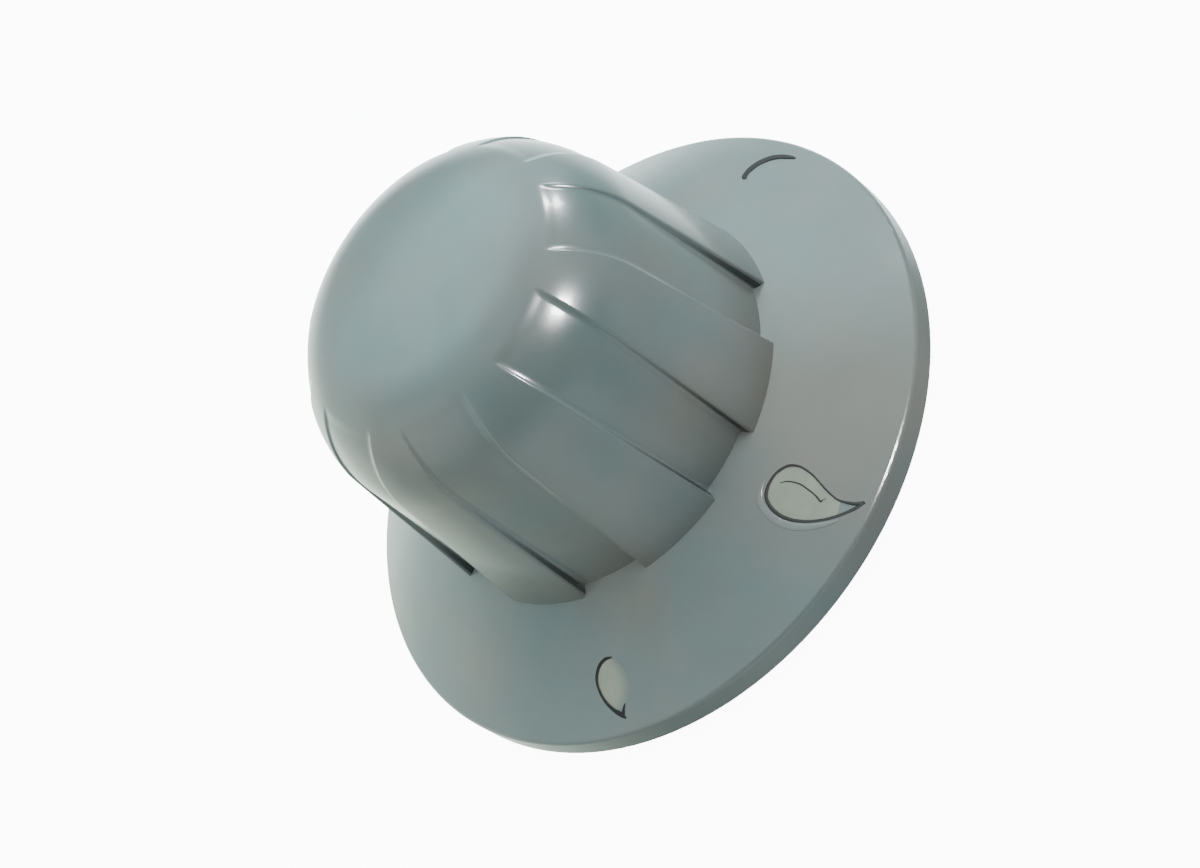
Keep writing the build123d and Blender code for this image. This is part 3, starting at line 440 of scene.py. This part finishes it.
def grip_painted_shade(height, depth, sunk):
    """How much painted shade the grip gets at one point of a flute or a land."""
    side = 1.0 if CREASE_STARTS < sunk < 1 else 0.0
    painted_shade = CREASE_SHADE * side * smoothstep((depth - CREASE_FROM) / CREASE_RISE)
    return max(painted_shade, FOOT_SHADE * smoothstep((FOOT_TOP - height) / FOOT_RISE))


def lining_rows():
    """Radius and height of the grip's plain inside, from its crown to its foot."""
    wall = [row for row in outer_rows() if row[2] == OUTWARD][2:]
    above = [row for row in outer_rows() if row[2] != OUTWARD]
    rows = [(r - GRIP_WALL * way[0], z - GRIP_WALL * way[1]) for r, z, way, _ in wall + above][::-2]
    foot = rows[-1][0] + LINING_FOOT
    rows.append((foot, skirt_height(foot) - BURIED))
    return rows


def add_grip(material):
    """One closed mesh: the fluted outside, the plain inside and both crowns."""
    vertices, painted_shades = [], []
    for radius, height, way, depth in outer_rows():
        sector = sector_columns(radius, height)
        for k in range(FLUTES):
            for offset, sunk in sector:
                angle = k * 2 * pi / FLUTES + offset
                r = radius - way[0] * depth * sunk
                z = height - way[1] * depth * sunk + DIAL_FOOT
                vertices.append((r * cos(angle) * MM, r * sin(angle) * MM, z * MM))
                painted_shades.append(grip_painted_shade(height, depth, sunk))
    columns = FLUTES * len(sector)
    outer = len(vertices) // columns
    lining = lining_rows()
    for radius, height in lining:
        for j in range(columns):
            angle = (j / columns - 0.5 / FLUTES) * 2 * pi
            z = height + DIAL_FOOT
            vertices.append((radius * cos(angle) * MM, radius * sin(angle) * MM, z * MM))
    faces = ring_faces(outer, columns)
    start = outer * columns
    faces += [tuple(start + i for i in face) for face in ring_faces(len(lining), columns)]
    last = len(vertices) - columns
    top = len(vertices)
    crown = CROWN_Z + FACE_CROWN_R + DIAL_FOOT
    vertices.append((0, 0, crown * MM))
    vertices.append((0, 0, (crown - GRIP_WALL) * MM))
    rim = (outer - 1) * columns
    for j in range(columns):
        k = (j + 1) % columns
        faces.append((last + j, last + k, k, j))
        faces.append((rim + j, rim + k, top))
        faces.append((start + k, start + j, top + 1))
    grip = add_piece("grip_skin", vertices, faces, material, "dial")
    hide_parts("grip_shell")
    # painted shade of each point, for the dial plastic to darken by
    painted_shade = grip.data.attributes.new("painted_shade", "FLOAT", "POINT")
    painted_shades += [0.0] * (len(vertices) - len(painted_shades))
    painted_shade.data.foreach_set("value", painted_shades)


# ---- dark lines of the flame marks: painted shade in their grooves -----
# Each point is distance out from the axis, sideways, and the line's width
# before LINE_SCALE. The places began as a program's output.
LARGE_LINE = (
    (48.6, 3.85, 0.45), (47.6, 3.1, 0.42), (45.8, 2.5, 0.24), (44.3, 2.75, 0.22), (42.8, 3.3, 0.22),
    (41.1, 3.95, 0.22), (39.4, 4.15, 0.26), (38.2, 3.75, 0.28), (37.5, 3.0, 0.28), (36.95, 1.7, 0.26),
    (36.85, 0.1, 0.3), (37.05, -1.1, 0.36), (37.6, -2.1, 0.42), (38.7, -2.85, 0.46), (40.1, -3.2, 0.48),
    (41.4, -3.1, 0.46), (42.6, -2.7, 0.42), (43.9, -2.0, 0.38), (45.2, -1.0, 0.36), (46.3, 0.1, 0.38),
    (47.2, 1.25, 0.38), (48.0, 2.5, 0.42), (48.6, 3.85, 0.3),
)
LARGE_VEIN = (
    (37.97, 0.75, 0.05), (38.79, 1.49, 0.15), (40.14, 1.93, 0.2), (41.39, 1.85, 0.2),
    (42.75, 1.57, 0.22), (43.74, 1.16, 0.26), (43.9, 1.45, 0.14), (44.2, 1.88, 0.04),
)
LARGE_LIP = (
    (36.1, 0.3, 0.1), (36.3, -1.3, 0.5), (37.0, -2.75, 0.8), (38.4, -3.65, 0.95), (40.1, -4.05, 1.0),
    (41.7, -3.9, 1.0), (43.2, -3.3, 0.9), (44.7, -2.3, 0.75), (46.0, -1.1, 0.55), (47.0, 0.1, 0.1),
)
MEDIUM_LINE = (
    (40.3, 1.2, 0.1), (40.25, 0.6, 0.26), (40.3, -0.1, 0.34), (40.8, -1.2, 0.38), (41.7, -2.0, 0.4),
    (42.6, -2.38, 0.38), (43.6, -2.42, 0.36), (44.6, -2.2, 0.38), (45.7, -1.7, 0.42), (46.8, -0.8, 0.5),
    (47.5, 0.1, 0.62), (48.1, 0.85, 0.25),
)
MEDIUM_BARB = ((47.7, 0.4, 0.4), (47.0, 0.75, 0.3), (46.3, 1.27, 0.05))
SMALL_LINE = (
    (41.1, 0.5, 0.3), (41.0, 0.9, 0.6), (41.55, 1.6, 0.75), (42.9, 2.0, 0.95), (44.3, 2.0, 1.15),
    (45.4, 1.55, 1.2), (46.3, 0.8, 1.1), (46.95, -0.4, 0.9), (47.25, -1.7, 0.65), (47.35, -2.95, 0.15),
)
LARGE_AZIMUTH, MEDIUM_AZIMUTH, SMALL_AZIMUTH = -90, -143, 0
# Name, points, azimuth, material, slot, and height of the line's middle.
# The dark beads are painted shade in the marks' grooves; the lip is a lighter copy of the dial plastic,
# a painted highlight.
LINES = (
    ("large_flame_line", LARGE_LINE, LARGE_AZIMUTH, "mark_line_shade", "frame_plastic", 0.04),
    ("large_flame_vein", LARGE_VEIN, LARGE_AZIMUTH, "mark_line_shade", "frame_plastic", -0.06),
    ("large_flame_lip", LARGE_LIP, LARGE_AZIMUTH, "mark_lip_highlight", "dial_plastic", 0.07),
    ("medium_flame_line", MEDIUM_LINE, MEDIUM_AZIMUTH, "mark_line_shade", "frame_plastic", 0.04),
    ("medium_flame_barb", MEDIUM_BARB, MEDIUM_AZIMUTH, "mark_line_shade", "frame_plastic", 0.03),
    ("small_flame_line", SMALL_LINE, SMALL_AZIMUTH, "mark_line_shade", "frame_plastic", 0.04),
)
# Across a line: share of its half width, and share of its rise (or its root).
LINE_SECTION = ((-1.0, 0.0), (-0.6, 0.8), (0.0, 1.0), (0.6, 0.8), (1.0, 0.0), (0.0, None))
LINE_EDGE, LINE_ROOT = -0.02, -0.25     # height of a line's edges, and of its buried root
LINE_CROWN = 0.06                       # least rise of a line's middle over its edges
LINE_SCALE = 1.25                       # all lines are drawn this much wider


def smooth_path(points, steps=6):
    """A Catmull-Rom curve through the points."""
    ends = [points[0], *points, points[-1]]
    path = []
    for i in range(len(points) - 1):
        a, b, c, d = (Vector(p) for p in ends[i:i + 4])
        for k in range(steps):
            t = k / steps
            bend = (2 * a - 5 * b + 4 * c - d) * t * t + (3 * b - a - 3 * c + d) * t ** 3
            path.append((2 * b + (c - a) * t + bend) / 2)
    path.append(Vector(points[-1]))
    return path


def on_skirt(out, side, azimuth, lift):
    turn = radians(azimuth)
    x, y = out * cos(turn) - side * sin(turn), out * sin(turn) + side * cos(turn)
    return x * MM, y * MM, (skirt_height(hypot(out, side)) + lift + DIAL_FOOT) * MM


def add_line(name, points, azimuth, material, rise):
    """A narrow closed bead let into the skirt's face."""
    path = smooth_path(points)
    edge = min(LINE_EDGE, rise - LINE_CROWN)
    vertices = []
    for i, (out, side, width) in enumerate(path):
        ahead = path[min(i + 1, len(path) - 1)] - path[max(i - 1, 0)]
        across = Vector((-ahead.y, ahead.x)).normalized() * width / 2 * LINE_SCALE
        for share, up in LINE_SECTION:
            lift = LINE_ROOT if up is None else edge + (rise - edge) * up
            place = (out + across.x * share, side + across.y * share)
            vertices.append(on_skirt(*place, azimuth, lift))
    count = len(LINE_SECTION)
    faces = ring_faces(len(path), count)
    faces.append(tuple(range(count)))
    faces.append(tuple(reversed(range(len(vertices) - count, len(vertices)))))
    add_piece(name, vertices, faces, material, "dial")


# ---- floor and light ---------------------------------------------------
FLOOR_SIZE, FLOOR_GAP = 8.0, 0.0001
FLOOR_COLOUR, FLOOR_ROUGH, FLOOR_GLOW = (0.9, 0.9, 0.9, 1), 0.7, 11.0
SPARKLE_DISTANCE = 1.0


def add_floor():
    """A pale floor that glows, lights nothing and takes no shadow."""
    height = CAD_BOX[0][2] - FLOOR_GAP
    bpy.ops.mesh.primitive_plane_add(size=FLOOR_SIZE, location=(0, 0, height))
    floor = bpy.context.object
    floor.name = "floor"
    floor.visible_diffuse = False
    floor.visible_glossy = False
    floor.visible_shadow = False
    white = Nodes("floor_white")
    white.set(Base_Color=FLOOR_COLOUR, Roughness=FLOOR_ROUGH)
    white.set(Emission_Color=(1, 1, 1, 1), Emission_Strength=FLOOR_GLOW)
    floor.data.materials.append(white.material)


def toward(azimuth, elevation):
    a, e = radians(azimuth), radians(elevation)
    return Vector((cos(e) * cos(a), cos(e) * sin(a), sin(e)))


def add_sparkle(name, azimuth, elevation, size, power):
    """A small light that shows only as a highlight on gloss."""
    data = bpy.data.lights.new(name, "AREA")
    data.size = size
    data.energy = power
    lamp = bpy.data.objects.new(name, data)
    lamp.visible_diffuse = False
    way = toward(azimuth, elevation)
    lamp.location = way * SPARKLE_DISTANCE
    lamp.rotation_euler = (-way).to_track_quat("-Z", "Y").to_euler()
    bpy.context.scene.collection.objects.link(lamp)


# Soft glows round the object: azimuth, elevation, colour. Most of the values
# began as a least-squares fit to one view, and were then changed.
GLOWS = (
    (-97, 84, (0.58, 0.68, 0.69)),
    (0, 54, (0.46, 0.52, 0.52)),
    (60, 54, (0.95, 1.45, 1.48)),
    (90, 54, (0.75, 1.18, 1.34)),
    (30, 30, (1.50, 1.80, 1.86)),
    (-30, 30, (0.94, 1.02, 1.00)),
    (-180, 30, (1.10, 1.04, 0.95)),
    (120, 5, (1.03, 1.14, 0.96)),
    (60, -25, (2.05, 2.32, 2.35)),
    (90, -25, (1.75, 1.95, 1.80)),
    (120, -25, (0.75, 0.93, 0.75)),
    (150, -25, (0.50, 0.60, 0.52)),
    (30, -25, (0.45, 0.59, 0.52)),
    (-30, -25, (0.70, 0.78, 0.80)),
    (-75, -25, (0.30, 0.34, 0.35)),
    (-120, -25, (0.70, 0.82, 0.84)),
    (-150, -25, (0.26, 0.31, 0.29)),
)
GLOW_CORE, GLOW_EDGE = radians(6), radians(38)
STUDIO_DIM = 0.03


def add_world():
    """A dim studio with soft glows, the strongest of them on the far side."""
    world = bpy.data.worlds.new("studio")
    world.use_nodes = True
    nodes, links = world.node_tree.nodes, world.node_tree.links
    place = nodes.new("ShaderNodeTexCoord").outputs["Generated"]
    base = nodes.new("ShaderNodeCombineXYZ")
    for socket in base.inputs:
        socket.default_value = STUDIO_DIM
    total = base.outputs["Vector"]
    for azimuth, elevation, colour in GLOWS:
        dot = nodes.new("ShaderNodeVectorMath")
        dot.operation = "DOT_PRODUCT"
        dot.inputs[1].default_value = toward(azimuth, elevation)
        links.new(place, dot.inputs[0])
        spread = nodes.new("ShaderNodeMapRange")
        spread.interpolation_type = "SMOOTHSTEP"
        spread.inputs["From Min"].default_value = cos(GLOW_EDGE)
        spread.inputs["From Max"].default_value = cos(GLOW_CORE)
        links.new(dot.outputs["Value"], spread.inputs["Value"])
        add = nodes.new("ShaderNodeVectorMath")
        add.operation = "MULTIPLY_ADD"
        add.inputs[0].default_value = colour
        links.new(spread.outputs["Result"], add.inputs[1])
        links.new(total, add.inputs[2])
        total = add.outputs["Vector"]
    links.new(total, nodes["Background"].inputs["Color"])
    bpy.context.scene.world = world


MATERIALS = make_materials()
MATERIALS["large_flame_mark"] = mark_cream(
    "large_mark_cream", on_skirt(39.5, -0.6, LARGE_AZIMUTH, 0), near=7.75, far=7.9)
MATERIALS["medium_flame_mark"] = mark_cream(
    "medium_mark_cream", on_skirt(43.0, -3.2, MEDIUM_AZIMUTH, 0), near=4.2, far=6.0)
MATERIALS["small_flame_mark"] = MATERIALS["dial_plastic"]
dress_cad(MATERIALS)
add_grip(MATERIALS["dial_plastic"])
for line_name, line, line_azimuth, line_material, line_slot, line_rise in LINES:
    add_line(line_name, line, line_azimuth, MATERIALS[line_material], line_rise)
add_floor()
add_world()
add_sparkle("streak", azimuth=8, elevation=25, size=0.12, power=5)
add_sparkle("spark", azimuth=-60, elevation=34, size=0.17, power=22)
add_camera()
